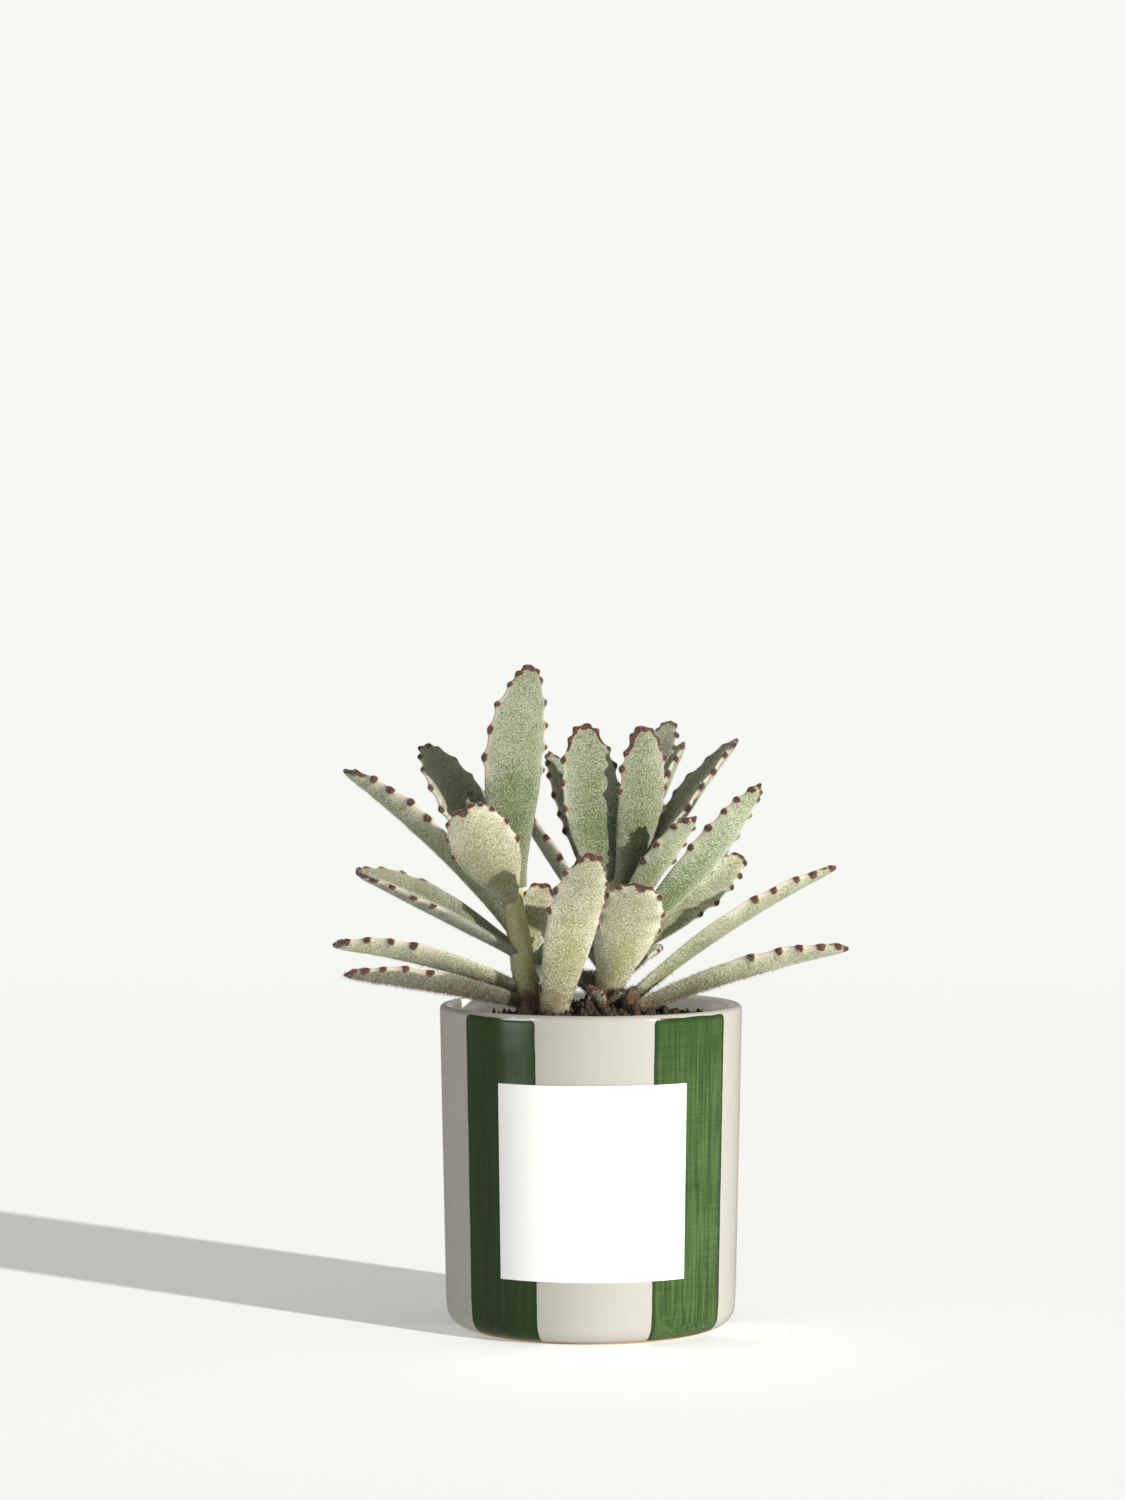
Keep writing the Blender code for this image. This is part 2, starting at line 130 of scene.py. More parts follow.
# A leaf: its stem and the height of its seat on it, the turn, rise and arch of its midrib, its length
# and width, the roll of its blade, how deep it is cupped, its width at the root, where along it the
# blade is widest and how blunt it ends. Turns are in degrees, from the front to +X.
Leaf = namedtuple("Leaf", "stem height turn rise arch length width roll cup root widest blunt")
LEAVES = {
    # left stem, from the soil up
    "leaf_left_01": Leaf("stem_left", 129, -72, 16, -12, 74, 16, 20, 0.30, 8, 0.60, 0.5),
    "leaf_left_02": Leaf("stem_left", 134, -90, 23.4, -20, 77, 16, 22, 0.30, 8, 0.60, 0.5),
    "leaf_left_03": Leaf("stem_left", 149, -76, 31, -8, 72, 21, -22, 0.42, 8, 0.58, 0.4),
    "leaf_left_04": Leaf("stem_left", 157.5, -106.6, 52.6, -22, 95.4, 17.5, 38, 0.25, 5.2, 0.60, 0.35),
    "leaf_left_05": Leaf("stem_left", 164.2, -129.0, 62.0, -14, 80.4, 28, -4, 0.12, 4.5, 0.62, 0.6),
    "leaf_left_06": Leaf("stem_left", 168.9, -42.6, 60.0, -14, 46.3, 25.5, 44, 0.12, 7, 0.54, 0.95),
    "leaf_left_07": Leaf("stem_left", 174, 76, 99, -25, 89, 26, -48, 0.08, 7, 0.58, 0.5),
    "leaf_left_08": Leaf("stem_left", 174.1, -107, 68.5, -8, 41.2, 14, -8, 0.20, 4, 0.62, 0.8),
    "leaf_left_09": Leaf("stem_left", 143, 140.9, 74.6, -10, 34.5, 14, 40, 0.20, 7, 0.62, 0.8),
    "leaf_left_10": Leaf("stem_left", 136, 158, 24, -12, 48, 15, 0, 0.25, 8, 0.62, 0.5),
    "leaf_left_11": Leaf("stem_left", 127.5, 180, 4, 0, 50, 15, 0, 0.25, 7, 0.62, 0.5),
    # right stem, front and sides
    "leaf_right_01": Leaf("stem_right", 133.4, 20.4, 56.8, -12, 56.4, 25.2, -17, 0.10, 9.5, 0.62, 0.85),
    "leaf_right_02": Leaf("stem_bud", 127, 78.3, 23.5, -14, 88, 16, -15, 0.40, 7, 0.58, 0.6),
    "leaf_right_03": Leaf("stem_bud", 133, 100.2, 40.4, -18, 94.4, 15.5, -12, 0.45, 7, 0.48, 0.4),
    "leaf_right_04": Leaf("stem_right", 145.2, 126, 29, 4, 76, 19.5, 35, 0.30, 7, 0.58, 0.6),
    "leaf_right_05": Leaf("stem_right", 149.6, 77.5, 41.1, 15, 88.7, 16, -45, 0.25, 4.5, 0.58, 0.35),
    "leaf_right_06": Leaf("stem_right", 155, 61.1, 60.9, -16, 60.6, 12, -38, 0.30, 4.5, 0.58, 0.5),
    "leaf_right_07": Leaf("stem_right", 158.5, 110.5, 65.0, -20, 91, 18, 5, 0.30, 4.5, 0.58, 0.35),
    # right stem, upright leaves of the crown
    "leaf_right_08": Leaf("stem_right", 168.4, -94.0, 79.2, 6, 70.9, 24, -66, 0.10, 5, 0.56, 0.7),
    "leaf_right_09": Leaf("stem_right", 172, 85.5, 67.8, 26, 67.4, 19, -65, 0.12, 5, 0.60, 0.8),
    "leaf_right_10": Leaf("stem_right", 168, 158, 50.5, -6, 96, 16, 0, 0.25, 4.5, 0.62, 0.6),
    "leaf_right_11": Leaf("stem_right", 174.8, 131.6, 60.0, -6, 67.2, 16, -25, 0.25, 3.4, 0.60, 0.4),
    "leaf_right_12": Leaf("stem_right", 159, -149.5, 59, -8, 83, 15, 0, 0.30, 5.5, 0.60, 0.4),
    "leaf_right_13": Leaf("stem_right", 153.8, -111, 56, -4, 68, 15, 20, 0.35, 5, 0.60, 0.4),
    # right stem, back
    "leaf_right_14": Leaf("stem_right", 151.5, 181, 46, -16, 62, 18, 0, 0.25, 4, 0.64, 0.5),
    "leaf_right_15": Leaf("stem_right", 141, -155, 36, -16, 60, 18, 0, 0.25, 8, 0.62, 0.5),
    "leaf_right_16": Leaf("stem_right", 137, 158, 18, -12, 50, 16, 0, 0.25, 8, 0.62, 0.5),
    "leaf_right_17": Leaf("stem_right", 129, -172, 12, -10, 54, 17, 0, 0.25, 8, 0.62, 0.5),
    # side shoots
    "leaf_shoot_01": Leaf("stem_shoot", 126.4, 32.4, 73.0, -14, 69.2, 21, -17, 0.12, 11, 0.60, 0.7),
    "leaf_shoot_02": Leaf("stem_shoot", 132.5, 175, 64, -14, 26, 9, 0, 0.20, 5, 0.62, 0.8),
    "leaf_bud_01": Leaf("stem_right", 127, -25, 40, -10, 15, 6, 0, 0.20, 4, 0.60, 0.7),
    "leaf_bud_02": Leaf("stem_right", 127, 40, 44, -10, 12, 5, 0, 0.20, 4, 0.60, 0.7),
}

# Leaves whose root sits on another side of the stem than the one they head for.
SEAT_TURNS = {
    "leaf_left_04": -110,
    "leaf_left_05": -152,
    "leaf_left_06": -32,
    "leaf_left_07": 80,
    "leaf_left_08": -105,
    "leaf_left_09": 176,
    "leaf_right_03": 112,
    "leaf_right_05": 86,
    "leaf_right_06": 44,
    "leaf_right_07": 104,
    "leaf_right_08": -84,
    "leaf_right_09": 58,
    "leaf_right_10": 174,
    "leaf_right_11": 142,
    "leaf_right_12": -145,
    "leaf_shoot_01": 30,
}
ROOT_OUT = 2.0
ROOT_THICK = 4.2
MIDDLE_THICK = 5.2
TIP_THICK = 3.4
LEAF_SIDES = 32
LOW_RING_GAP = 2.6
FINE_RING_GAP = 0.62
TIP_SHARE = 0.045
MARGIN_POINTS = 1201
MIDRIB_STEPS = 400

# Teeth: how far from the tip they stand, on what share of the leaf, and how far out.
LEFT_TEETH = (3.5, 10.0, 18.0, 27.0, 37.0)
RIGHT_TEETH = (6.0, 13.5, 22.5, 32.0, 41.0)
TOOTH_REACH = 0.50
TOOTH = 1.15

# Knobs round the end: the way along the margin from the tip to the first, on the left and right
# side, and from one to the next, wider on the two broad leaves in front.
FIRST_KNOBS = (2.4, 3.9)
KNOB_GAP = 4.2
FRONT_GAP = 5.2
FRONT_LEAVES = ("leaf_right_01", "leaf_shoot_01")
# Leaves shorter than this have smaller knobs.
SMALL_LEAF = 30.0
SMALL_KNOBS = 0.62

# How sandy, rather than green, each leaf's felt is.
SANDY = {
    "leaf_left_06": 0.85,
    "leaf_left_09": 0.9,
    "leaf_right_01": 0.85,
    "leaf_shoot_01": 0.75,
    "leaf_left_01": 0.35,
    "leaf_left_02": 0.5,
    "leaf_left_03": 0.45,
    "leaf_left_04": 0.35,
    "leaf_right_02": 0.5,
    "leaf_right_03": 0.4,
    "leaf_right_04": 0.45,
    "leaf_right_06": 0.3,
}

# Painted light and shade: how much darker or paler each leaf's felt is painted, for how the light falls
# on it.
PAINTED_LIGHT = {
    "leaf_left_01": 0.42,
    "leaf_left_02": 1.30,
    "leaf_left_03": 0.66,
    "leaf_left_04": 1.25,
    "leaf_right_02": 1.15,
    "leaf_right_03": 1.12,
    "leaf_right_04": 1.65,
    "leaf_right_05": 1.30,
    "leaf_right_06": 1.20,
    "leaf_right_08": 0.82,
    "leaf_right_09": 0.85,
    "leaf_left_07": 0.82,
    "leaf_right_07": 0.85,
    "leaf_shoot_01": 1.08,
    "leaf_right_01": 1.38,
}

# Leaves whose tips wear an unbroken brown band.
RIMMED = {
    "leaf_left_04": 0.5,
    "leaf_right_01": 0.15,
    "leaf_shoot_01": 0.35,
    "leaf_right_08": 0.9,
    "leaf_right_09": 1.0,
    "leaf_left_07": 0.3,
}

STEM_SIDES = 28
STEM_RING = 1.0
STEM_CAP = 1.2
SCAR_GAP = 8.5
# Up to which height a stem's bark is brown.
BROWN_TO = {"stem_left": 144.0, "stem_right": 144.0, "stem_shoot": 144.0, "stem_bud": 156.0}

# Hairs: how many on a square millimetre, shortest and longest, and how wide.
LEAF_DOWN = (4.0, (0.5, 1.1), 0.06)
STEM_DOWN = (3.0, (0.4, 0.9), 0.06)
BROWN_FUZZ = (5.0, (0.9, 2.1), 0.13)
FUZZ_TOP = 147.0
FUZZ_FADE = 18.0
HAIR_STRAY = 0.55
HAIR_SUNK = 0.05


def smooth(t):
    """An eased step from nought to one."""
    t = np.clip(t, 0.0, 1.0)
    return t * t * (3.0 - 2.0 * t)


def wall_radius(z):
    """Outer radius of the pot's wall."""
    return FOOT_RADIUS + (RIM_RADIUS - FOOT_RADIUS) * z / POT_HEIGHT


def soil_height(x, y):
    """The mound of the soil, gently uneven."""
    radius = np.hypot(x, y)
    mound = SOIL_MOUND * (1.0 - smooth((radius - SOIL_CROWN) / SOIL_SLOPE)) + SOIL_TILT * x
    crumbs = 0.9 * np.sin(0.31 * x + 1.3) * np.sin(0.27 * y - 0.6)
    crumbs = crumbs + 0.5 * np.sin(0.73 * x - 0.4 * y) * np.cos(0.61 * y + 0.2 * x)
    return SOIL_EDGE_Z + mound + crumbs * smooth((56.0 - radius) / 12.0)


# Materials


class Surface:
    """A Principled material with short ways to add its nodes."""

    def __init__(self, name):
        self.material = bpy.data.materials.new(name)
        self.material.use_nodes = True
        self.nodes = self.material.node_tree.nodes
        self.links = self.material.node_tree.links
        self.shader = self.nodes["Principled BSDF"]
        self.place = self.nodes.new("ShaderNodeTexCoord").outputs["Object"]

    def node(self, kind, **settings):
        made = self.nodes.new(kind)
        for key, value in settings.items():
            setattr(made, key, value)
        return made

    def feed(self, socket, value):
        if isinstance(value, bpy.types.NodeSocket):
            self.links.new(value, socket)
        else:
            socket.default_value = value

    def attribute(self, name, output="Fac"):
        return self.node("ShaderNodeAttribute", attribute_name=name).outputs[output]

    def stretched(self, scale, vector=None):
        made = self.node("ShaderNodeMapping")
        self.feed(made.inputs["Vector"], vector or self.place)
        made.inputs["Scale"].default_value = scale
        return made.outputs["Vector"]

    def noise(self, scale, detail, rough, vector=None):
        made = self.node("ShaderNodeTexNoise")
        self.feed(made.inputs["Vector"], vector or self.place)
        made.inputs["Scale"].default_value = scale
        made.inputs["Detail"].default_value = detail
        made.inputs["Roughness"].default_value = rough
        return made.outputs["Fac"]

    def level(self):
        """Height above the table, in metres."""
        made = self.node("ShaderNodeSeparateXYZ")
        self.feed(made.inputs[0], self.place)
        return made.outputs[2]

    def maths(self, how, first, second):
        made = self.node("ShaderNodeMath", operation=how)
        self.feed(made.inputs[0], first)
        self.feed(made.inputs[1], second)
        return made.outputs[0]

    def plus(self, value, other, share):
        """The value and a share of another one."""
        return self.maths("ADD", value, self.maths("MULTIPLY", other, share))

    def ruffled(self, value, noise, amount):
        """The value, moved up and down by a noise."""
        return self.plus(value, self.maths("SUBTRACT", noise, 0.5), amount)

    def span(self, value, low, high, to_low=0.0, to_high=1.0):
        """The value taken from one range to another, eased and clamped."""
        made = self.node("ShaderNodeMapRange", interpolation_type="SMOOTHSTEP")
        self.feed(made.inputs["Value"], value)
        ends = {"From Min": low, "From Max": high, "To Min": to_low, "To Max": to_high}
        for key, number in ends.items():
            made.inputs[key].default_value = number
        return made.outputs["Result"]

    def mix(self, share, first, second, how="MIX"):
        made = self.node("ShaderNodeMix", data_type="RGBA", blend_type=how)
        self.feed(made.inputs["Factor"], share)
        for socket, value in ((made.inputs[6], first), (made.inputs[7], second)):
            self.feed(socket, value if isinstance(value, bpy.types.NodeSocket) else (*value, 1.0))
        return made.outputs[2]

    def bump(self, height, strength, distance, below=None):
        made = self.node("ShaderNodeBump")
        self.feed(made.inputs["Height"], height)
        made.inputs["Strength"].default_value = strength
        made.inputs["Distance"].default_value = distance
        if below is not None:
            self.feed(made.inputs["Normal"], below)
        return made.outputs["Normal"]

    def finish(self, colour, roughness, normal=None, **constants):
        self.feed(self.shader.inputs["Base Color"], colour)
        self.feed(self.shader.inputs["Roughness"], roughness)
        if normal is not None:
            self.feed(self.shader.inputs["Normal"], normal)
        for key, value in constants.items():
            self.shader.inputs[key.replace("_", " ")].default_value = value
        return self.material


def leaf_felt():
    """Green flesh under a silvery felt, sandy on some leaves, with red-brown knobs."""
    felt = Surface("leaf_felt_hairy")
    lie = felt.attribute("lie", "Vector")
    edge = felt.attribute("edge")
    sandy = felt.attribute("sandy")
    along = felt.attribute("along")
    speck = felt.noise(1.0, 2.0, 0.6, felt.stretched((2500.0, 1300.0, 2500.0), lie))
    fine = felt.noise(3600.0, 1.0, 0.5)
    blotch = felt.noise(95.0, 3.0, 0.55)
    drift = felt.noise(26.0, 2.0, 0.5)

    # hairs, thickest along the margin and thinnest low on the open blade
    amount = felt.plus(felt.maths("MULTIPLY", speck, 0.72), fine, 0.28)
    amount = felt.ruffled(amount, blotch, 0.14)
    amount = felt.ruffled(amount, drift, 0.14)
    amount = felt.plus(amount, felt.maths("POWER", edge, 3.0), 0.10)
    inland = felt.maths("SUBTRACT", 1.0, edge)
    thinned = felt.maths("MULTIPLY", inland, felt.span(along, 0.30, 0.80, 0.09, 0.0))
    cover = felt.span(felt.maths("SUBTRACT", amount, thinned), 0.40, 0.60)
    flesh = felt.mix(sandy, (0.070, 0.118, 0.024), (0.250, 0.238, 0.105))
    flesh = felt.mix(felt.span(along, 0.0, 0.28, 0.55, 0.0), flesh, (0.26, 0.25, 0.12))
    down = felt.mix(sandy, (0.375, 0.410, 0.310), (0.615, 0.590, 0.475))
    colour = felt.mix(cover, flesh, down)

    # soil dust on what lies low
    level = felt.level()
    dirt = felt.ruffled(felt.span(level, 0.124, 0.144, 0.48, 0.0), blotch, 0.5)
    dirt = felt.ruffled(dirt, speck, 0.9)
    low = felt.span(level, 0.138, 0.150, 0.80, 0.0)
    dirt = felt.maths("MULTIPLY", felt.span(dirt, 0.36, 0.62), low)
    dirt = felt.maths("MULTIPLY", dirt, felt.attribute("dusty"))
    colour = felt.mix(dirt, colour, (0.250, 0.140, 0.085))
    # painted light and shade: each leaf's colour darkened or paled for how the light falls on it
    colour = felt.mix(1.0, colour, felt.attribute("painted_light", "Color"), "MULTIPLY")

    # a painted highlight: a pale rim along the margin where the edge hairs catch the light; and brown
    # knobs in a reddish blush
    painted_rim_light = felt.span(felt.ruffled(edge, blotch, 0.14), 0.86, 0.985)
    colour = felt.mix(felt.maths("MULTIPLY", painted_rim_light, 0.70), colour, (0.66, 0.58, 0.47))
    knob = felt.ruffled(felt.attribute("knob"), felt.noise(900.0, 2.0, 0.6), 0.42)
    rust = felt.mix(felt.noise(700.0, 2.0, 0.6), (0.026, 0.010, 0.007), (0.135, 0.046, 0.026))
    blush = felt.span(knob, 0.22, 0.50)
    colour = felt.mix(felt.maths("MULTIPLY", blush, 0.40), colour, (0.38, 0.24, 0.16))
    colour = felt.mix(felt.span(knob, 0.42, 0.60), colour, rust)

    normal = felt.bump(felt.plus(speck, fine, 0.6), 0.55, 0.00028)
    normal = felt.bump(blotch, 0.30, 0.0009, normal)
    return felt.finish(
        colour,
        felt.span(cover, 0.0, 1.0, 0.74, 0.93),
        normal,
        Sheen_Weight=0.35,
        Sheen_Roughness=0.5,
        Sheen_Tint=(0.95, 0.96, 0.88, 1.0),
        Specular_IOR_Level=0.25,
    )


def stem_bark():
    """Green, streaked bark that is brown low down."""
    bark = Surface("stem_bark_downy")
    streak = bark.noise(420.0, 4.0, 0.6, bark.stretched((1.0, 1.0, 0.22)))
    speck = bark.noise(1500.0, 2.0, 0.6)
    green = bark.mix(streak, (0.34, 0.345, 0.125), (0.60, 0.585, 0.29))
    green = bark.mix(bark.span(speck, 0.52, 0.70), green, (0.66, 0.64, 0.40))
    brown = bark.mix(speck, (0.070, 0.034, 0.019), (0.27, 0.155, 0.085))
    low = bark.ruffled(bark.attribute("low"), streak, 0.7)
    colour = bark.mix(bark.span(low, 0.35, 0.75), green, brown)
    rough = bark.span(streak, 0.2, 0.8, 0.72, 0.92)
    normal = bark.bump(bark.plus(streak, speck, 0.5), 0.6, 0.0006)
    return bark.finish(colour, rough, normal, Sheen_Weight=0.25, Sheen_Roughness=0.5)


def soil_mix():
    """Dark, crumbly earth with paler grains."""
    soil = Surface("soil_mix")
    clod = soil.noise(330.0, 5.0, 0.65)
    grain = soil.noise(1400.0, 3.0, 0.6)
    colour = soil.mix(clod, (0.012, 0.007, 0.004), (0.090, 0.050, 0.028))
    colour = soil.mix(soil.span(grain, 0.58, 0.72), colour, (0.17, 0.100, 0.060))
    normal = soil.bump(clod, 0.9, 0.0018)
    normal = soil.bump(grain, 0.6, 0.0005, normal)
    return soil.finish(colour, soil.span(clod, 0.3, 0.7, 0.98, 0.80), normal)


def pot_glaze():
    """Cream glaze with hand-painted green stripes, and bare clay under the foot."""
    glaze = Surface("pot_glaze_striped")
    wander = glaze.noise(60.0, 3.0, 0.6)
    inside = glaze.ruffled(glaze.attribute("brush"), wander, 1.1)
    painted = glaze.span(inside, -0.12, 0.12)

    # green, thin along the brush's strokes and dark where it ran or pooled, with painted shade on the
    # stripes left of the front
    strokes = glaze.noise(1.0, 3.0, 0.62, glaze.stretched((1250.0, 1250.0, 24.0)))
    weft = glaze.noise(1.0, 3.0, 0.62, glaze.stretched((24.0, 24.0, 1100.0)))
    pools = glaze.noise(45.0, 3.0, 0.55)
    drips = glaze.noise(1.0, 2.0, 0.5, glaze.stretched((300.0, 300.0, 9.0)))
    thin = glaze.maths("MULTIPLY", glaze.span(strokes, 0.34, 0.70), 0.62)
    thin = glaze.plus(thin, glaze.span(weft, 0.42, 0.74), 0.24)
    thin = glaze.plus(thin, glaze.span(pools, 0.35, 0.7), 0.18)
    green = glaze.mix(thin, (0.022, 0.052, 0.012), (0.105, 0.170, 0.055))
    green = glaze.mix(glaze.span(drips, 0.56, 0.72, 0.0, 0.55), green, (0.016, 0.042, 0.010))
    # painted shade on the stripes left of the front, the pot's shaded side
    green = glaze.mix(glaze.attribute("coat"), green, (0.012, 0.030, 0.006))
    near_lip = glaze.span(glaze.ruffled(glaze.level(), drips, 0.03), 0.104, 0.112, 0.0, 0.42)
    green = glaze.mix(near_lip, green, (0.022, 0.062, 0.010))
    outline = glaze.span(inside, 0.3, 2.6, 0.90, 0.0)
    green = glaze.mix(outline, green, (0.014, 0.036, 0.008))

    cream = glaze.mix(glaze.noise(30.0, 2.0, 0.5), (0.440, 0.433, 0.398), (0.480, 0.470, 0.432))
    # painted light: the inside wall is painted paler, for light bounced about in the pot's mouth
    cream = glaze.mix(glaze.attribute("inner"), cream, (0.95, 0.94, 0.89))
    clay = glaze.mix(glaze.noise(800.0, 3.0, 0.6), (0.42, 0.25, 0.13), (0.56, 0.36, 0.20))
    bare = glaze.span(glaze.ruffled(glaze.attribute("bare"), wander, 0.6), 0.4, 0.6)
    colour = glaze.mix(bare, glaze.mix(painted, cream, green), clay)
    ripple = glaze.noise(38.0, 2.0, 0.5)
    rough = glaze.plus(glaze.span(ripple, 0.3, 0.7, 0.10, 0.17), bare, 0.6)
    height = glaze.plus(glaze.maths("MULTIPLY", painted, 0.12), ripple, 0.6)

    # light bounced about inside the mouth of the pot
    bounce = glaze.maths("MULTIPLY", glaze.attribute("inner"), 0.11)
    glaze.shader.inputs["Emission Color"].default_value = (1.0, 0.99, 0.93, 1.0)
    glaze.feed(glaze.shader.inputs["Emission Strength"], bounce)
    return glaze.finish(colour, rough, glaze.bump(height, 0.22, 0.0012))


def label_paper():
    """White paper with a faint fibre."""
    paper = Surface("label_paper_plain")
    fibre = paper.noise(1.0, 4.0, 0.6, paper.stretched((1500.0, 1500.0, 900.0)))
    colour = paper.mix(fibre, (0.900, 0.900, 0.900), (0.940, 0.940, 0.935))
    rough = paper.span(fibre, 0.3, 0.7, 0.62, 0.74)
    return paper.finish(colour, rough, paper.bump(fibre, 0.12, 0.0001))


def hair(name, dark, pale):
    """Fine hairs, some darker and some paler from place to place."""
    strand = Surface(name)
    tint = strand.noise(260.0, 2.0, 0.6)
    colour = strand.mix(strand.span(tint, 0.35, 0.65), dark, pale)
    rough = strand.span(tint, 0.3, 0.7, 0.52, 0.68)
    return strand.finish(colour, rough, Specular_IOR_Level=0.3)


# Meshes


def deselect():
    """Nothing stays selected, so that an operator acts on one piece only."""
    for obj in list(bpy.context.selected_objects):
        obj.select_set(False)


def active(obj):
    deselect()
    obj.select_set(True)
    bpy.context.view_layer.objects.active = obj


def named(name):
    """The primitive just added, under its own name."""
    obj = bpy.context.object
    obj.name = name
    obj.data.name = name
    return obj


def from_points(name, points, edges, faces):
    """A new object from its points, in millimetres."""
    mesh = bpy.data.meshes.new(name)
    mesh.from_pydata((np.array(points) * MM).tolist(), edges, faces)
    obj = bpy.data.objects.new(name, mesh)
    bpy.context.scene.collection.objects.link(obj)
    return obj


def finished(obj, material, slot, *replaced):
    """The piece with its material and body, and the nodes it stands in for. The slot is not used."""
    obj.data.materials.clear()
    obj.data.materials.append(material)
    active(obj)
    bpy.ops.object.shade_smooth()
    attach(obj, BODY)
    if replaced:
        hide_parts(*replaced)
    deselect()
    return obj


def points_of(mesh):
    """Every vertex's place, in the mesh's own metres."""
    points = np.empty(len(mesh.vertices) * 3)
    mesh.vertices.foreach_get("co", points)
    return points.reshape(-1, 3)


def place_points(mesh, points):
    """Moves every vertex to its place, given in millimetres."""
    mesh.vertices.foreach_set("co", np.ascontiguousarray(points * MM, np.float32).ravel())
    mesh.update()


def write_attribute(mesh, name, values):
    values = np.asarray(values, np.float32)
    kind = "FLOAT_VECTOR" if values.ndim == 2 else "FLOAT"
    made = mesh.attributes.new(name, kind, "POINT")
    made.data.foreach_set("vector" if values.ndim == 2 else "value", values.ravel())


def rolled_ball(name, sides, rings):
    """A ball to be drawn out into a long piece: its ring and side of every vertex."""
    deselect()
    bpy.ops.mesh.primitive_uv_sphere_add(segments=sides, ring_count=rings + 1, radius=1.0)
    obj = named(name)
    ball = points_of(obj.data)
    from_pole = np.arccos(np.clip(-ball[:, 2], -1.0, 1.0)) / math.pi
    ring = np.rint(from_pole * (rings + 1)).astype(int)
    angle = np.arctan2(ball[:, 1], ball[:, 0])
    return obj, ring, angle


# Leaves


def half_width(leaf, s):
    """Half the blade's width: it widens from the root and closes in a rounded end."""
    half = leaf.width / 2.0
    grown = np.sin(0.5 * math.pi * np.minimum(s / leaf.widest, 1.0)) ** 1.35
    lower = leaf.root / 2.0 + (half - leaf.root / 2.0) * grown
    x = np.clip((s - leaf.widest) / (1.0 - leaf.widest), 0.0, 1.0)
    upper = half * (1.0 - x ** (1.5 + 1.1 * leaf.blunt)) ** (0.86 - 0.40 * leaf.blunt)
    return np.where(s < leaf.widest, lower, upper)


def stem_point(stem, z):
    """The stem's middle line at a height."""
    points = np.array(STEMS[stem])
    return np.array([np.interp(z, points[:, 2], points[:, k]) for k in range(3)])


def stations(length):
    """Places of the rings: wide apart near the root, fine along the toothed part and at the tip."""
    reach = 1.0 - TOOTH_REACH - 0.03
    tip = 1.0 - TIP_SHARE
    lower = np.linspace(0.004, reach, max(6, int(length * reach / LOW_RING_GAP)))
    upper = np.linspace(reach, tip, max(10, int(length * (tip - reach) / FINE_RING_GAP)))[1:]
    end = 1.0 - TIP_SHARE * (1.0 - np.sin(np.linspace(0.0, 0.5 * math.pi, 12)))[1:-1]
    return np.concatenate([lower, upper, end])


def teeth_of(order, length):
    """Where the teeth of each side stand along the leaf, each a little off its place."""
    rng = np.random.default_rng(TOOTH_SEED + order)
    sides = []
    for teeth in (LEFT_TEETH, RIGHT_TEETH):
        places = [t + rng.uniform(-1.0, 1.0) for t in teeth]
        sides.append([1.0 - t / length for t in places if t < TOOTH_REACH * length])
    return sides


def leaf_margin(leaf, s):
    """The margin as a line on the flat blade: half width, way to the tip and outward direction at
    each place, and the two rows that give the way to the tip from anywhere."""
    t = np.linspace(0.0, 1.0, MARGIN_POINTS)
    margin = half_width(leaf, t)
    step = np.hypot(np.diff(margin), np.diff(t) * leaf.length)
    from_tip = np.concatenate([np.cumsum(step[::-1])[::-1], [0.0]])
    slope = np.gradient(margin, t * leaf.length)
    lean = np.clip(np.interp(s, t, slope), -6.0, 0.6)
    outward = np.stack([np.ones_like(lean), -lean], 1) / np.hypot(1.0, lean)[:, None]
    return np.interp(s, t, margin), np.interp(s, t, from_tip), outward, (t, from_tip)


def leaf_knobs(order, leaf, size, gap, wide, inward, run, tip_ways):
    """How far each place bulges out, and how brown it is, from the knobs of both sides."""
    rng = np.random.default_rng(KNOB_SEED + order)
    bump = np.zeros(len(wide))
    knob = np.zeros(len(wide))
    for side, nearest, teeth in zip((-1.0, 1.0), FIRST_KNOBS, teeth_of(order, leaf.length)):
        places = [float(np.interp(x, *tip_ways)) for x in teeth]
        first = min(places, default=6.0)
        place = nearest * size
        while place < first - 2.8 * size:
            places.append(place + rng.uniform(-0.4, 0.4))
            place += gap
        mine = side * wide > 0.0
        for place in places:
            reach = rng.uniform(1.65, 2.2) * size * (0.75 + 0.25 * slenderness(leaf))
            lump = np.exp(-(((run - place) / reach) ** 2)) * mine
            bump = np.maximum(bump, lump * rng.uniform(0.75, 1.15))
            spot = np.exp(-(((run - place) / (1.12 * reach)) ** 2) - (inward / (2.0 * size)) ** 2)
            knob = np.maximum(knob, spot * mine * rng.uniform(0.72, 1.0))
    return bump, knob


def slenderness(leaf):
    """Below one on narrow leaves, whose blade and teeth are slighter."""
    return min(1.0, 0.25 + leaf.width / 24.0)


def leaf_heading(leaf, s):
    """Which way the midrib runs at each place along it."""
    up = np.radians(leaf.rise + leaf.arch * s)
    turn = np.radians(leaf.turn)
    return np.stack([np.cos(up) * np.sin(turn), -np.cos(up) * np.cos(turn), np.sin(up)], 1)


def leaf_midrib(leaf, seat_turn, s):
    """Points of the midrib, which starts inside the stem."""
    seat = math.radians(seat_turn)
    out = np.array([math.sin(seat), -math.cos(seat), 0.0]) * ROOT_OUT
    origin = stem_point(leaf.stem, leaf.height) + out
    grid = np.linspace(0.0, 1.0, MIDRIB_STEPS + 1)
    heading = leaf_heading(leaf, grid)
    steps = 0.5 * (heading[1:] + heading[:-1]) * (leaf.length / MIDRIB_STEPS)
    line = np.vstack([np.zeros(3), np.cumsum(steps, axis=0)]) + origin
    return np.stack([np.interp(s, grid, line[:, k]) for k in range(3)], 1)


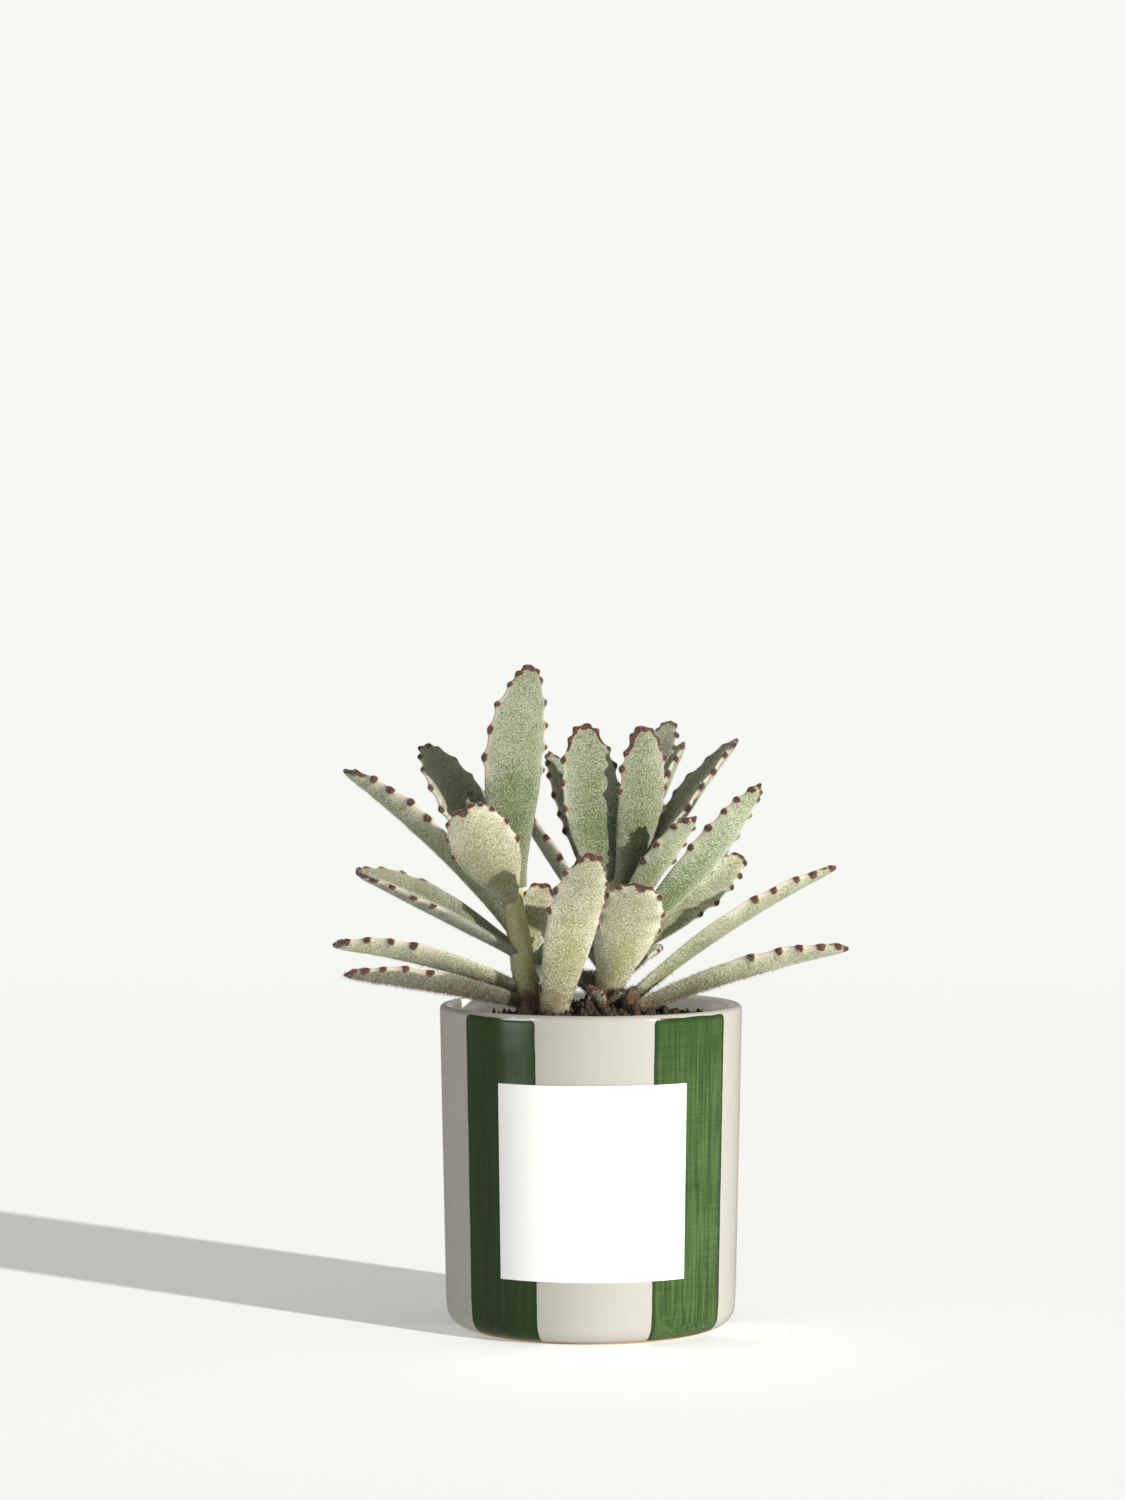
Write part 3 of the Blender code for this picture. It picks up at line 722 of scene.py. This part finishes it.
def make_leaf(order, name, material):
    """One leaf: a ball drawn out along its midrib, flattened, toothed and cupped."""
    leaf = LEAVES[name]
    s_rings = stations(leaf.length)
    obj, ring, angle = rolled_ball(name + "_felted", LEAF_SIDES, len(s_rings))
    s = np.concatenate([[0.0], s_rings, [1.0]])[ring]
    pole = (ring == 0) | (ring == len(s_rings) + 1)
    wide = np.where(pole, 0.0, np.sign(np.cos(angle)) * np.abs(np.cos(angle)) ** 0.82)
    deep = np.where(pole, 0.0, np.sign(np.sin(angle)) * np.abs(np.sin(angle)) ** 0.80)
    slender = slenderness(leaf)
    size = SMALL_KNOBS if leaf.length < SMALL_LEAF else 1.0

    # knobs, with a brown cap at the tip and, on some leaves, a brown line round the end
    half, run, outward, tip_ways = leaf_margin(leaf, s)
    inward = (1.0 - np.abs(wide)) * half
    gap = (FRONT_GAP if name in FRONT_LEAVES else KNOB_GAP) * size
    bump, knob = leaf_knobs(order, leaf, size, gap, wide, inward, run, tip_ways)
    toothed = smooth((s - 0.42) / 0.10)
    at_tip = smooth(run / (2.2 * size))
    amount = slender * TOOTH * size * toothed * (1.42 * bump - 0.30 * at_tip)
    skin = np.abs(wide) ** 3
    shift = outward * (amount * skin)[:, None]
    tip_away = np.hypot(wide * half, (1.0 - s) * leaf.length)
    cap = np.exp(-((tip_away / (2.8 * size)) ** 2))
    rimmed = RIMMED.get(name, 0.0)
    line = (0.55 + 0.5 * rimmed) * np.exp(-((inward / (0.6 + 1.3 * rimmed)) ** 2))
    line = line * smooth(((15.0 + 4.0 * rimmed) * size - run) / (9.0 * size))
    knob = np.maximum(np.maximum(knob, cap), line) * smooth((s - 0.35) / 0.1)

    # thickness, cup, a wavy margin and a groove over the midrib
    grown = (MIDDLE_THICK - ROOT_THICK) * smooth(s / 0.35)
    shrunk = (MIDDLE_THICK - TIP_THICK) * smooth((s - 0.5) / 0.5)
    thick = 0.5 * (ROOT_THICK + grown - shrunk) * slender
    taper = np.sqrt(np.clip(1.0 - ((s - 0.9) / 0.1) ** 2, 0.0, 1.0))
    thick = thick * np.where(s > 0.9, 0.25 + 0.75 * taper, 1.0)
    body = thick * np.sqrt(1.0 - (0.80 * wide) ** 2) * deep
    body = body + np.sign(deep) * 0.30 * bump * skin * toothed * size
    lift = leaf.cup * half * np.abs(wide) ** 1.6
    wave = 0.32 * slender * np.sin(run / 2.9 + order) * np.abs(wide) ** 2 * toothed
    groove = -0.30 * slender * np.exp(-((wide / 0.16) ** 2)) * smooth(s / 0.3) * smooth((1.0 - s) / 0.3)
    up_by = lift + wave + np.where(deep > 0.0, 0.8 * body, 1.2 * body) + groove

    # the flat blade, rolled about its midrib and carried along it
    midrib = leaf_midrib(leaf, SEAT_TURNS.get(name, leaf.turn), s)
    along = leaf_heading(leaf, s)
    turn = np.radians(leaf.turn)
    across = np.array([np.cos(turn), np.sin(turn), 0.0])
    out = np.cross(along, across)
    roll = math.radians(leaf.roll)
    edgewise = across * math.cos(roll) + out * math.sin(roll)
    facing = out * math.cos(roll) - across * math.sin(roll)
    flat = wide * half + np.sign(wide) * shift[:, 0]
    placed = midrib + edgewise * flat[:, None] + facing * up_by[:, None] + along * shift[:, 1:2]
    place_points(obj.data, placed)

    # painted light and shade of the whole leaf, for how the light falls on it
    painted_light = np.full(len(s), PAINTED_LIGHT.get(name, 1.0))
    if name in FRONT_LEAVES:
        # painted light and shade: paler near the root, darker towards the tip in the shade of the
        # leaves above
        painted_light = painted_light * (1.17 - 0.39 * smooth((s - 0.45) / 0.4))
    sandy = SANDY.get(name, 0.12 + 0.1 * (order % 3))
    write_attribute(obj.data, "lie", np.stack([flat, s * leaf.length, up_by], 1) * MM)
    write_attribute(obj.data, "edge", np.abs(wide) * toothed + np.abs(wide) * 0.8 * (1.0 - toothed))
    write_attribute(obj.data, "along", s)
    write_attribute(obj.data, "knob", knob)
    write_attribute(obj.data, "dusty", np.full(len(s), 0.25 if "_bud_" in name else 1.0))
    write_attribute(obj.data, "painted_light", np.repeat(painted_light[:, None], 3, 1))
    write_attribute(obj.data, "sandy", np.full(len(s), sandy))
    return finished(obj, material, "leaf_felt", name)


# Stems


def make_stem(name, material):
    """One stem, uneven and ringed with the scars of old leaves."""
    points = np.array(STEMS[name])
    z_low = points[0, 2]
    z_high = points[-1, 2] + STEM_CAP
    rings = int((z_high - z_low) / STEM_RING)
    obj, ring, angle = rolled_ball(name + "_downy", STEM_SIDES, rings)
    level = np.concatenate([[z_low], np.linspace(z_low + 0.2, points[-1, 2], rings), [z_high]])
    z = level[ring]
    x = np.interp(z, points[:, 2], points[:, 0])
    y = np.interp(z, points[:, 2], points[:, 1])
    radius = np.interp(z, points[:, 2], points[:, 3])
    pole = (ring == 0) | (ring == rings + 1)
    from_scar = np.mod(z + 3.0 * np.sin(angle * 2.0 + z * 0.2), SCAR_GAP) - 4.0
    scar = 0.35 * np.exp(-((from_scar / 1.1) ** 2))
    rough = 0.22 * np.sin(5.0 * angle + 0.33 * z) + 0.15 * np.sin(9.0 * angle - 0.5 * z)
    reach = np.where(pole, 0.0, radius + scar + rough)
    placed = np.stack([x + reach * np.cos(angle), y + reach * np.sin(angle), z], 1)
    place_points(obj.data, placed)
    write_attribute(obj.data, "low", smooth((BROWN_TO[name] - z) / 18.0))
    return finished(obj, material, "stem_bark", name)


# Down


def triangles_by_place(mesh):
    """The corners of every triangle, in millimetres. A ball's faces can be numbered otherwise in
    another run, so both corners and triangles are put in order of their places."""
    mesh.calc_loop_triangles()
    corners = np.empty(len(mesh.loop_triangles) * 3, np.int64)
    mesh.loop_triangles.foreach_get("vertices", corners)
    points = points_of(mesh) / MM
    by_place = np.lexsort(points.T)
    ranks = np.argsort(by_place)[corners.reshape(-1, 3)]
    turned = (ranks.argmin(1)[:, None] + np.arange(3)) % 3
    ranks = np.take_along_axis(ranks, turned, 1)
    ranks = ranks[np.lexsort(ranks.T)]
    return points[by_place][ranks.T]


def down(name, sources, growth, material, slot, rng, keep=None):
    """Hairs standing on the faces of the given pieces, each a sliver of one face."""
    per_mm2, tall, width = growth
    hairs = []
    for source in sources:
        a, b, c = triangles_by_place(source.data)
        cross = np.cross(b - a, c - a)
        area = 0.5 * np.linalg.norm(cross, axis=1)
        normal = cross / np.maximum(2.0 * area, 1e-9)[:, None]
        weight = area if keep is None else area * keep((a + b + c) / 3.0)
        count = int(weight.sum() * per_mm2)
        if count < 1:
            continue
        chosen = rng.choice(len(area), count, p=weight / weight.sum())
        a, b, c, normal = (row[chosen] for row in (a, b, c, normal))
        u = np.sqrt(rng.random(count))
        v = rng.random(count)
        root = a * (1.0 - u)[:, None] + b * (u * (1.0 - v))[:, None] + c * (u * v)[:, None]
        lie = normal + rng.normal(0.0, HAIR_STRAY, (count, 3))
        lie /= np.linalg.norm(lie, axis=1)[:, None]
        reach = rng.uniform(tall[0], tall[1], count)
        across = np.cross(lie, rng.normal(0.0, 1.0, (count, 3)))
        across /= np.maximum(np.linalg.norm(across, axis=1), 1e-6)[:, None]
        across *= 0.5 * width
        root = root - normal * HAIR_SUNK
        hairs.append(np.stack([root - across, root + across, root + lie * reach[:, None]], 1))
    points = np.concatenate(hairs).reshape(-1, 3)
    faces = np.arange(len(points)).reshape(-1, 3).tolist()
    return finished(from_points(name, points, [], faces), material, slot)


def near_soil(places):
    """Where brown hairs grow: over the low ends of the stems and leaves."""
    return smooth((FUZZ_TOP - places[:, 2]) / FUZZ_FADE)


# Pot, label and soil


def arc(cx, cz, radius, first, last, steps):
    """Points of an arc, from one angle to another in degrees."""
    turn = np.radians(np.linspace(first, last, steps + 1))
    return [(cx + radius * math.cos(a), cz + radius * math.sin(a)) for a in turn]


def stripe_distance(angle, z, radius):
    """Millimetres inside the nearest stripe, below nought outside it."""
    best = np.full(angle.shape, -99.0)
    for middle, half in STRIPES:
        off = (np.degrees(angle) - middle + 180.0) % 360.0 - 180.0
        side = np.radians(half - np.abs(off)) * radius
        top = STRIPE_TOP - z
        away = np.hypot(np.maximum(STRIPE_CORNER - side, 0.0), np.maximum(STRIPE_CORNER - top, 0.0))
        in_corner = (side < STRIPE_CORNER) & (top < STRIPE_CORNER)
        inside = np.where(in_corner, STRIPE_CORNER - away, np.minimum(side, top))
        best = np.maximum(best, inside)
    return best


def make_pot(material):
    """The pot, turned from its profile, and where its paint and bare clay lie."""
    lip = WALL / 2.0
    profile = [(0.0, FLOOR), (20.0, FLOOR), (40.0, FLOOR)]
    inner_foot = wall_radius(FLOOR) - WALL
    profile += arc(inner_foot - INNER_ROUND, FLOOR + INNER_ROUND, INNER_ROUND, -90, 0, 8)
    profile += [(wall_radius(z) - WALL, z) for z in (*INNER_RINGS, POT_HEIGHT - lip)]
    profile += arc(RIM_RADIUS - lip, POT_HEIGHT - lip, lip, 180, 0, 16)[1:]
    profile += [(wall_radius(z), z) for z in OUTER_RINGS]
    foot = FOOT_RADIUS - FOOT_ROUND
    profile += arc(foot, FOOT_ROUND + FOOT_STEP, FOOT_ROUND, 0, -90, 14)
    profile += [(foot - 0.3, 0.3), (foot - 0.8, 0.0), (foot - 14.0, 0.0), (0.0, 0.0)]
    joined = [(i, i + 1) for i in range(len(profile) - 1)]
    obj = from_points("pot_glazed", [(r, 0.0, z) for r, z in profile], joined, [])
    active(obj)
    spin = obj.modifiers.new("turn", "SCREW")
    spin.axis = "Z"
    spin.angle = 2.0 * math.pi
    spin.steps = POT_SIDES
    spin.render_steps = POT_SIDES
    spin.use_merge_vertices = True
    spin.merge_threshold = 0.00002
    bpy.ops.object.modifier_apply(modifier=spin.name)
    points = points_of(obj.data) / MM
    radius = np.hypot(points[:, 0], points[:, 1])
    angle = np.arctan2(points[:, 0], -points[:, 1])
    outer = radius > wall_radius(points[:, 2]) - 1.35 * lip
    outer |= points[:, 2] < FLOOR * 0.98
    painted = stripe_distance(angle, points[:, 2], np.maximum(radius, 30.0))
    brush = np.where(outer, painted, -9.0)
    write_attribute(obj.data, "brush", brush)
    # the stripes left of the front get painted shade
    write_attribute(obj.data, "coat", np.where(angle < 0.0, PAINTED_LEFT_SHADE, 0.0))
    write_attribute(obj.data, "inner", (~outer).astype(np.float32))
    write_attribute(obj.data, "bare", smooth((1.6 - points[:, 2]) / 0.8))
    return finished(obj, material, "pot_glaze", "pot")


def make_label(material):
    """A sheet bent round the front of the pot."""
    deselect()
    wide, tall = LABEL_GRID
    bpy.ops.mesh.primitive_grid_add(x_subdivisions=wide, y_subdivisions=tall, size=1.0)
    obj = named("label_sheet")
    flat = points_of(obj.data)
    z = LABEL_BOTTOM + (flat[:, 1] + 0.5) * (LABEL_TOP - LABEL_BOTTOM)
    turn = math.radians(LABEL_TURN) + flat[:, 0] * LABEL_WIDTH / wall_radius(0.5 * POT_HEIGHT)
    reach = wall_radius(z) + LABEL_OFF
    place_points(obj.data, np.stack([reach * np.sin(turn), -reach * np.cos(turn), z], 1))
    active(obj)
    sheet = obj.modifiers.new("paper", "SOLIDIFY")
    sheet.thickness = LABEL_THICK * MM
    sheet.offset = 1.0
    bpy.ops.object.modifier_apply(modifier=sheet.name)
    made = finished(obj, material, "label_paper", "label")
    active(made)
    bpy.ops.object.shade_smooth_by_angle(angle=math.radians(40.0))
    deselect()
    return made


def lumps(x, y):
    """Small uneven relief, the same each time, as a sum of turned waves."""
    rng = np.random.default_rng(LUMP_SEED)
    total = np.zeros_like(x)
    for _ in range(CRUST_WAVES):
        size = rng.uniform(1.6, 7.0)
        way = rng.uniform(0.0, 2.0 * math.pi)
        shift = rng.uniform(0.0, 6.3)
        ahead = x * math.cos(way) + y * math.sin(way)
        total += size * 0.10 * np.sin(ahead * 2.0 * math.pi / size + shift)
    return total


def make_soil(material):
    """A lumpy crust on the mound, out to the pot's wall."""
    deselect()
    bpy.ops.mesh.primitive_grid_add(x_subdivisions=SOIL_GRID, y_subdivisions=SOIL_GRID, size=2.0)
    obj = named("soil_crust")
    flat = points_of(obj.data)
    # the square grid is drawn in to a round one
    far = np.maximum(np.abs(flat[:, 0]), np.abs(flat[:, 1]))
    length = np.maximum(np.hypot(flat[:, 0], flat[:, 1]), 1e-9)
    edge = wall_radius(SOIL_EDGE_Z) - WALL - CRUST_GAP
    x = flat[:, 0] / length * far * edge
    y = flat[:, 1] / length * far * edge
    rim = smooth((1.0 - far) / 0.05)
    z = soil_height(x, y) + CRUST_RAISE + (0.25 + lumps(x, y)) * (0.25 + 0.75 * rim)
    place_points(obj.data, np.stack([x, y, z], 1))
    active(obj)
    thick = obj.modifiers.new("depth", "SOLIDIFY")
    thick.thickness = CRUST_THICK * MM
    thick.offset = -1.0
    bpy.ops.object.modifier_apply(modifier=thick.name)
    return finished(obj, material, "soil")


def make_crumbs(material, rng):
    """Crumbs and bark bits lying on the soil, one lump copied and turned."""
    deselect()
    bpy.ops.mesh.primitive_ico_sphere_add(subdivisions=2, radius=1.0)
    lump = bpy.context.object
    base = points_of(lump.data)
    faces = np.empty(len(lump.data.polygons) * 3, np.int64)
    lump.data.polygons.foreach_get("vertices", faces)
    faces = faces.reshape(-1, 3)
    bpy.data.objects.remove(lump, do_unlink=True)
    points = []
    polys = []
    for i in range(CRUMBS):
        r = CRUMB_REACH * math.sqrt(rng.random())
        a = rng.uniform(0.0, 2.0 * math.pi)
        x = r * math.cos(a)
        y = r * math.sin(a)
        # about one in eight is a large one
        size = rng.uniform(0.35, 1.0) * (1.9 if rng.random() < 0.12 else 1.0)
        form = base * (1.0 + rng.normal(0.0, 0.16, (len(base), 1)))
        form = form * np.array([size * rng.uniform(0.8, 1.7), size, size * rng.uniform(0.5, 0.9)])
        spin = rng.uniform(0.0, 2.0 * math.pi)
        turned = form.copy()
        turned[:, 0] = form[:, 0] * math.cos(spin) - form[:, 1] * math.sin(spin)
        turned[:, 1] = form[:, 0] * math.sin(spin) + form[:, 1] * math.cos(spin)
        ground = float(soil_height(x, y)) + CRUMB_RAISE
        points.append(turned + np.array([x, y, ground]))
        polys.append(faces + i * len(base))
    obj = from_points("soil_crumbs", np.concatenate(points), [], np.concatenate(polys).tolist())
    return finished(obj, material, "soil")


# Stage, light and camera

BACKDROP = (0.930, 0.939, 0.896, 1.0)
SKY = 0.285
FLOOR_GLOW = 0.325
# How far from the pot the floor starts to go over into the backdrop, and has gone.
HAZE_FROM = 0.9
HAZE_TO = 3.2

# Suns: turn from the front to +X, rise above the floor, and strength.
KEY = (50.0, 11.0, 4.4)
FLOOR_KEY = (48.0, 15.0, 5.93)
SUN_ANGLE = 1.6

# A tall window seen in the glaze.
WINDOW_WIDE = 0.40
WINDOW_TALL = 0.9
WINDOW_TURN = -57.0
WINDOW_AWAY = 1.0
WINDOW_MIDDLE = 0.48
WINDOW_POWER = 16.0

CAMERA_PLACE = (0.0, -1.700, 0.274)
CAMERA_DOWN = 1.53
CAMERA_TURN = 0.38
LENS = 102.96


def make_stage():
    """A pale floor that fades into the backdrop."""
    deselect()
    bpy.ops.mesh.primitive_plane_add(size=30.0)
    floor = named("studio_floor")
    pale = Surface("studio_floor_pale")
    grain = pale.noise(3.0, 2.0, 0.5)
    colour = pale.mix(grain, (0.795, 0.80, 0.78), (0.805, 0.81, 0.79))
    pale.finish(colour, 1.0, Specular_IOR_Level=0.0)
    pale.shader.inputs["Emission Color"].default_value = (0.93, 0.94, 0.90, 1.0)
    pale.shader.inputs["Emission Strength"].default_value = FLOOR_GLOW
    # far off the floor goes over into the backdrop
    away = pale.node("ShaderNodeVectorMath", operation="LENGTH")
    pale.feed(away.inputs[0], pale.place)
    haze = pale.node("ShaderNodeEmission")
    haze.inputs["Color"].default_value = BACKDROP
    blend = pale.node("ShaderNodeMixShader")
    pale.feed(blend.inputs["Fac"], pale.span(away.outputs["Value"], HAZE_FROM, HAZE_TO))
    pale.feed(blend.inputs[1], pale.shader.outputs["BSDF"])
    pale.feed(blend.inputs[2], haze.outputs["Emission"])
    pale.feed(pale.nodes["Material Output"].inputs["Surface"], blend.outputs["Shader"])
    floor.data.materials.append(pale.material)
    floor.visible_glossy = False
    return floor


def make_world():
    """A warm, dim sky that lights, and a pale backdrop that is seen."""
    world = bpy.data.worlds.new("studio")
    bpy.context.scene.world = world
    world.use_nodes = True
    nodes = world.node_tree.nodes
    links = world.node_tree.links
    lit = nodes["Background"]
    lit.inputs["Color"].default_value = (1.0, 0.975, 0.905, 1.0)
    lit.inputs["Strength"].default_value = SKY
    seen = nodes.new("ShaderNodeBackground")
    seen.inputs["Color"].default_value = BACKDROP
    seen.inputs["Strength"].default_value = 1.0
    path = nodes.new("ShaderNodeLightPath")
    mix = nodes.new("ShaderNodeMixShader")
    links.new(path.outputs["Is Camera Ray"], mix.inputs["Fac"])
    links.new(lit.outputs["Background"], mix.inputs[1])
    links.new(seen.outputs["Background"], mix.inputs[2])
    links.new(mix.outputs["Shader"], nodes["World Output"].inputs["Surface"])


def sun(name, aim, colour, receivers):
    """A sun that lights only what is in one collection."""
    turn, rise, strength = aim
    light = bpy.data.lights.new(name, "SUN")
    light.energy = strength
    light.angle = math.radians(SUN_ANGLE)
    light.color = colour
    obj = bpy.data.objects.new(name, light)
    bpy.context.scene.collection.objects.link(obj)
    obj.rotation_euler = (math.radians(90.0 - rise), 0.0, math.radians(turn))
    obj.light_linking.receiver_collection = receivers


def make_lights(floor):
    """A low warm sun from the right front, a steeper one for the floor's shadow, a tall window."""
    only_floor = bpy.data.collections.new("floor_lit")
    only_floor.objects.link(floor)
    but_floor = bpy.data.collections.new("plant_lit")
    but_floor.objects.link(floor)
    but_floor.collection_objects[0].light_linking.link_state = "EXCLUDE"
    sun("key", KEY, (1.0, 0.965, 0.90), but_floor)
    sun("floor_key", FLOOR_KEY, (1.0, 1.0, 1.0), only_floor)
    panel = bpy.data.lights.new("window_panel", "AREA")
    panel.shape = "RECTANGLE"
    panel.size = WINDOW_WIDE
    panel.size_y = WINDOW_TALL
    panel.energy = WINDOW_POWER
    panel.color = (0.93, 0.98, 1.0)
    obj = bpy.data.objects.new("window_panel", panel)
    bpy.context.scene.collection.objects.link(obj)
    turn = math.radians(WINDOW_TURN)
    obj.location = (WINDOW_AWAY * math.sin(turn), -WINDOW_AWAY * math.cos(turn), WINDOW_MIDDLE)
    obj.rotation_euler = (math.radians(90.0), 0.0, turn)
    obj.visible_diffuse = False


def make_camera():
    """The camera of the photograph, a little above the rim and far off."""
    data = bpy.data.cameras.new("camera")
    data.sensor_width = 36.0
    data.lens = LENS
    data.clip_end = 60.0
    camera = bpy.data.objects.new("camera", data)
    bpy.context.scene.collection.objects.link(camera)
    camera.location = CAMERA_PLACE
    camera.rotation_euler = (math.radians(90.0 - CAMERA_DOWN), 0.0, math.radians(CAMERA_TURN))
    bpy.context.scene.camera = camera


def main():
    scene = bpy.context.scene
    scene.view_settings.view_transform = "Standard"
    scene.view_settings.look = "None"
    make_camera()
    make_world()
    make_lights(make_stage())

    make_pot(pot_glaze())
    make_label(label_paper())
    earth = soil_mix()
    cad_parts["soil"].data.materials.clear()
    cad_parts["soil"].data.materials.append(earth)
    rng = np.random.default_rng(CRUMB_SEED)
    make_soil(earth)
    make_crumbs(earth, rng)
    bark = stem_bark()
    stems = [make_stem(name, bark) for name in STEMS]
    felt = leaf_felt()
    leaves = [make_leaf(order, name, felt) for order, name in enumerate(LEAVES)]

    silver = hair("down_silver", (0.66, 0.67, 0.60), (0.78, 0.79, 0.72))
    brown = hair("down_brown", (0.11, 0.05, 0.03), (0.21, 0.10, 0.055))
    left = [leaf for leaf in leaves if "_left_" in leaf.name]
    right = [leaf for leaf in leaves if "_right_" in leaf.name]
    others = [leaf for leaf in leaves if leaf not in left and leaf not in right]
    for name, grown in (("down_left", left), ("down_right", right), ("down_front", others)):
        down(name, grown, LEAF_DOWN, silver, "leaf_felt", rng)
    down("down_stems", stems, STEM_DOWN, silver, "stem_bark", rng)
    down("fuzz_brown", stems + leaves, BROWN_FUZZ, brown, "stem_bark", rng, near_soil)


main()
